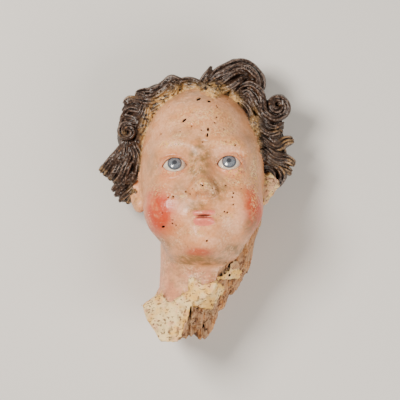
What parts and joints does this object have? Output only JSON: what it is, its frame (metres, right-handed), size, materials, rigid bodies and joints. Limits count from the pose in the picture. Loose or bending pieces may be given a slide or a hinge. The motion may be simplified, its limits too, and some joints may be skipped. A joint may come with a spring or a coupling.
{
  "type": "putto head carving",
  "caption": "Carved and painted limewood head of a putto with inset glass eyes, broken off at the neck, lying on the back of its head.",
  "frame": {"origin": "on the planed spot at the back of the head, under the middle of the outline", "axes": "+X to the viewer's right, +Y from the neck towards the crown, +Z out of the face"},
  "size_m": [0.1722, 0.2498, 0.1415],
  "materials": {
    "painted_limewood": "aged oil polychromy over gesso, worn and flaked, with bare torn limewood at the neck",
    "eye_glass": "polished opaque white blown glass with a grey-blue iris"
  },
  "bodies": {
    "root": {"carved_head": "painted_limewood", "right_glass_eye": "eye_glass", "left_glass_eye": "eye_glass"}
  },
  "joints": []
}
